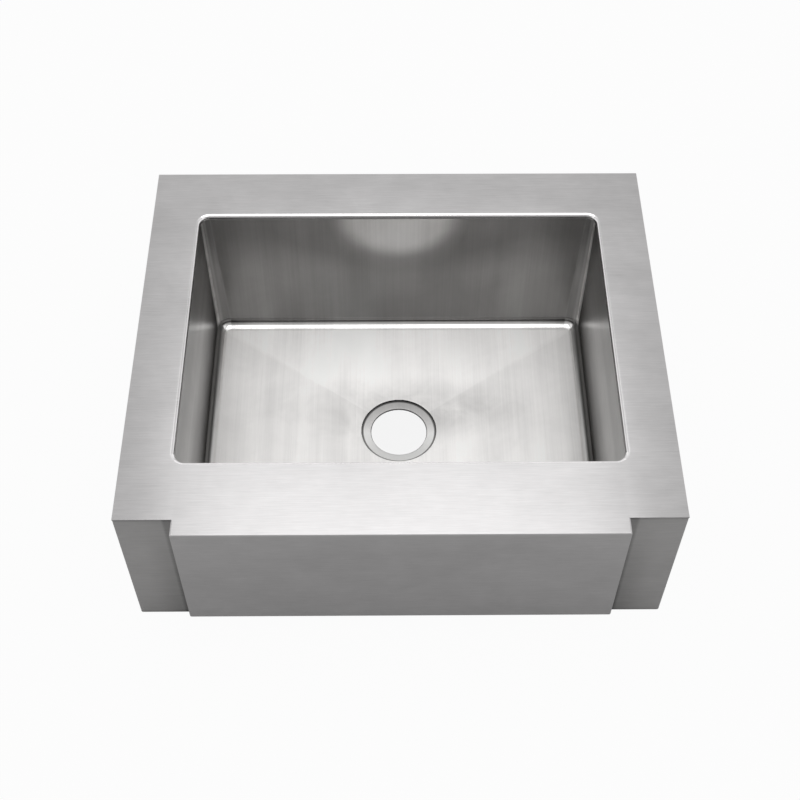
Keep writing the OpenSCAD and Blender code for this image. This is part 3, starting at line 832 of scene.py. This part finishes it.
def weld_metal(name):
    """Weld metal: fine ripples, and heat colours that run from straw to blue."""
    material, tree, shader = new_material(name)
    spot = tree.nodes.new("ShaderNodeTexCoord")
    wave = tree.nodes.new("ShaderNodeTexWave")
    wave.bands_direction = "DIAGONAL"
    wave.inputs["Scale"].default_value = 190.0
    wave.inputs["Distortion"].default_value = 2.5
    wave.inputs["Detail"].default_value = 1.0
    tree.links.new(spot.outputs["Object"], wave.inputs["Vector"])
    ripple = Value(wave.outputs["Fac"])
    heat = fade(noise(tree, 90.0, 3.0, 0.5), 0.3, 0.7)
    scale = noise(tree, 1300.0, 3.0)
    mix = tree.nodes.new("ShaderNodeMix")
    mix.data_type = "RGBA"
    feed(mix.inputs["Factor"], heat)
    mix.inputs["A"].default_value = STRAW
    mix.inputs["B"].default_value = HEAT_BLUE
    shaded = tree.nodes.new("ShaderNodeVectorMath")
    shaded.operation = "SCALE"
    tree.links.new(mix.outputs["Result"], shaded.inputs[0])
    feed(shaded.inputs["Scale"], 0.75 + ripple * 0.35 + weigh((scale, 0.4)))
    tree.links.new(shaded.outputs[0], shader.inputs["Base Color"])
    (0.38 + weigh((scale, 0.3), (heat, 0.2))).feeds(shader, "Roughness")
    press(shader, ripple + scale * 0.3, WELD_DEPTH)
    return material


def islands(bm):
    """The separate stitches of a weld node, each as a list of corners."""
    done = set()
    for first in bm.verts:
        if first in done:
            continue
        done.add(first)
        group = [first]
        for v in group:
            near = [w for w in (e.other_vert(v) for e in v.link_edges) if w not in done]
            done.update(near)
            group += near
        yield group


def rippled(node, material):
    """Lays each stitch again as a row of ripples that die away at its ends."""
    bm = traced(node)
    boxes = [[[end(v.co[i] for v in group) for i in range(3)] for end in (min, max)]
             for group in islands(bm)]

    def within(low, high):
        """The corners that lie in a box."""
        return [v for v in bm.verts if all(low[i] - CLOSE <= v.co[i] <= high[i] + CLOSE for i in range(3))]

    for low, high in boxes:
        group = within(low, high)
        size = [high[i] - low[i] for i in range(3)]
        axis = size.index(max(size))
        across = [i for i in range(3) if i != axis]
        # The root of the bead is the corner of its box that lies opposite the empty one
        gaps = {}
        for a in (low, high):
            for b in (low, high):
                corner = (a[across[0]], b[across[1]])
                gaps[corner] = min(math.dist(corner, (v.co[across[0]], v.co[across[1]])) for v in group)
        empty = max(gaps, key=gaps.get)
        root = [low[i] + high[i] - empty[n] for n, i in enumerate(across)]
        cuts = max(8, round(size[axis] / RIPPLE_CUT))
        edges = each_once(e for v in group for e in v.link_edges)
        long_edges = [e for e in edges if e.calc_length() > 0.9 * size[axis]]
        bmesh.ops.subdivide_edges(bm, edges=long_edges, cuts=cuts, use_grid_fill=True)
        for v in within(low, high):
            along = v.co[axis] - low[axis]
            out = [v.co[i] - root[n] for n, i in enumerate(across)]
            lean = abs(abs(out[0]) - abs(out[1]))
            ripple = abs(math.sin(math.pi * (along + SLANT_SHARE * lean) / RIPPLE))
            end = min(1.0, min(along, size[axis] - along) / BEAD_END)
            dome = math.sqrt(max(0.0, 1 - (1 - end) ** 2))
            keep = (1 - RIPPLE_SHARE * (1 - ripple)) * (1 - END_SHARE * (1 - dome))
            for n, i in enumerate(across):
                v.co[i] = root[n] + out[n] * keep
    bmesh.ops.recalc_face_normals(bm, faces=bm.faces)
    finish_piece("sink_" + node, bm, "weld_metal", material, node)


weld_steel = weld_metal("weld_metal")
for node in ("wing_welds", "ledge_welds", "apron_welds"):
    rippled(node, weld_steel)


# Stage and light. A plain pale floor, a large soft lamp overhead and the pale room round it. The room is
# white only where the camera sees it, so that the upright steel stays mid grey.

FLOOR_HALF_SIZE = 6
FLOOR_GREY = (0.46, 0.46, 0.46, 1)
SHADOW_REACH = (0.10, 0.24)
DRAIN_SPOT = (0.08, 0.22)
ROOM_DEPTH = (-0.9, 0.6)
ROOM_FRONT, ROOM_BACK = 0.42, 0.66
ROOM_WIDTH = (0.45, 0.75)
ROOM_SIDES = 0.4
ROOM_SHINE = 0.1
LAMP_SIZE = (1.3, 2.3)
LAMP_GLOW = 1.25
LAMP_Z = 2.1


def rays(tree):
    """Two switches: one for what is seen directly or through glass, one for what is seen in reflections."""
    path = tree.nodes.new("ShaderNodeLightPath").outputs
    seen = calc("MAXIMUM", Value(path["Is Camera Ray"]), Value(path["Is Transmission Ray"]))
    return seen, Value(path["Is Glossy Ray"])


def mix_shaders(tree, choice, a, b):
    """Shader a where the choice is 0, b where it is 1."""
    mix = tree.nodes.new("ShaderNodeMixShader")
    for socket, output in zip(mix.inputs, (choice, a, b)):
        tree.links.new(output, socket)
    return mix.outputs[0]


floor_mesh = bpy.data.meshes.new("floor")
bm = bmesh.new()
bmesh.ops.create_grid(bm, x_segments=1, y_segments=1, size=FLOOR_HALF_SIZE)
bm.to_mesh(floor_mesh)
bm.free()
floor = bpy.data.objects.new("floor", floor_mesh)
scene.collection.objects.link(floor)
paper, tree, shader = new_material("pale_floor", 0.0)
shader.inputs["Base Color"].default_value = FLOOR_GREY
shader.inputs["Roughness"].default_value = 0.9
shader.inputs["Specular IOR Level"].default_value = 0.1
white = tree.nodes.new("ShaderNodeEmission")
white.inputs["Strength"].default_value = 1.0
spot = tree.nodes.new("ShaderNodeTexCoord")
distance = tree.nodes.new("ShaderNodeVectorMath")
distance.operation = "DISTANCE"
distance.inputs[1].default_value = (0, BOWL_Y, 0)
tree.links.new(spot.outputs["Object"], distance.inputs[0])
from_drain = Value(distance.outputs["Value"])
# The camera sees it nearly white, and in reflections it is bright only under the drain
seen, glossy = rays(tree)
seen = seen * fade(from_drain, *SHADOW_REACH, 0.86, 0.96)
bright = calc("MULTIPLY_ADD", glossy, fade(from_drain, *DRAIN_SPOT, 1.0, 0.1), seen)
from_above = mix_shaders(tree, bright.socket, shader.outputs[0], white.outputs[0])
# From below it is clear, so that the underside of the sink can be seen
below = tree.nodes.new("ShaderNodeNewGeometry").outputs["Backfacing"]
clear = tree.nodes.new("ShaderNodeBsdfTransparent").outputs[0]
one_sided = mix_shaders(tree, below, from_above, clear)
tree.links.new(one_sided, tree.nodes["Material Output"].inputs["Surface"])
floor_mesh.materials.append(paper)

world = bpy.data.worlds.new("studio")
scene.world = world
world.use_nodes = True
tree = world.node_tree
sky = tree.nodes["Background"]
sky.inputs["Color"].default_value = (1, 1, 1, 1)
x, y = place(tree, "Generated")[:2]
room = fade(y, *ROOM_DEPTH, ROOM_FRONT, ROOM_BACK) + fade(abs(x), *ROOM_WIDTH, 0.0, ROOM_SIDES)
seen, glossy = rays(tree)
shown = calc("MULTIPLY_ADD", glossy, ROOM_SHINE, seen)
either(shown, room, 1.0).feeds(sky, "Strength")

lamp_data = bpy.data.lights.new("overhead_softbox", "AREA")
lamp_data.shape = "RECTANGLE"
lamp_data.size, lamp_data.size_y = LAMP_SIZE
lamp_data.energy = LAMP_GLOW * math.pi * LAMP_SIZE[0] * LAMP_SIZE[1]
lamp = bpy.data.objects.new("overhead_softbox", lamp_data)
scene.collection.objects.link(lamp)
lamp.location = (0, 0, LAMP_Z)

# Camera. Its lens, place and turn were fitted to the straight edges, the corners and the drain's circle
# of the sink.

LENS = 60.69
CAMERA_PLACE = (-0.0118, -1.2300, 1.7881)
CAMERA_TURN = (36.17, -0.154, -0.407)

camera_data = bpy.data.cameras.new("camera")
camera_data.lens = LENS
camera_data.sensor_width = 36
camera_data.clip_start = 0.05
camera_data.clip_end = 50
camera = bpy.data.objects.new("camera", camera_data)
scene.collection.objects.link(camera)
camera.location = CAMERA_PLACE
camera.rotation_euler = [math.radians(angle) for angle in CAMERA_TURN]
scene.camera = camera
scene.view_settings.view_transform = "Standard"
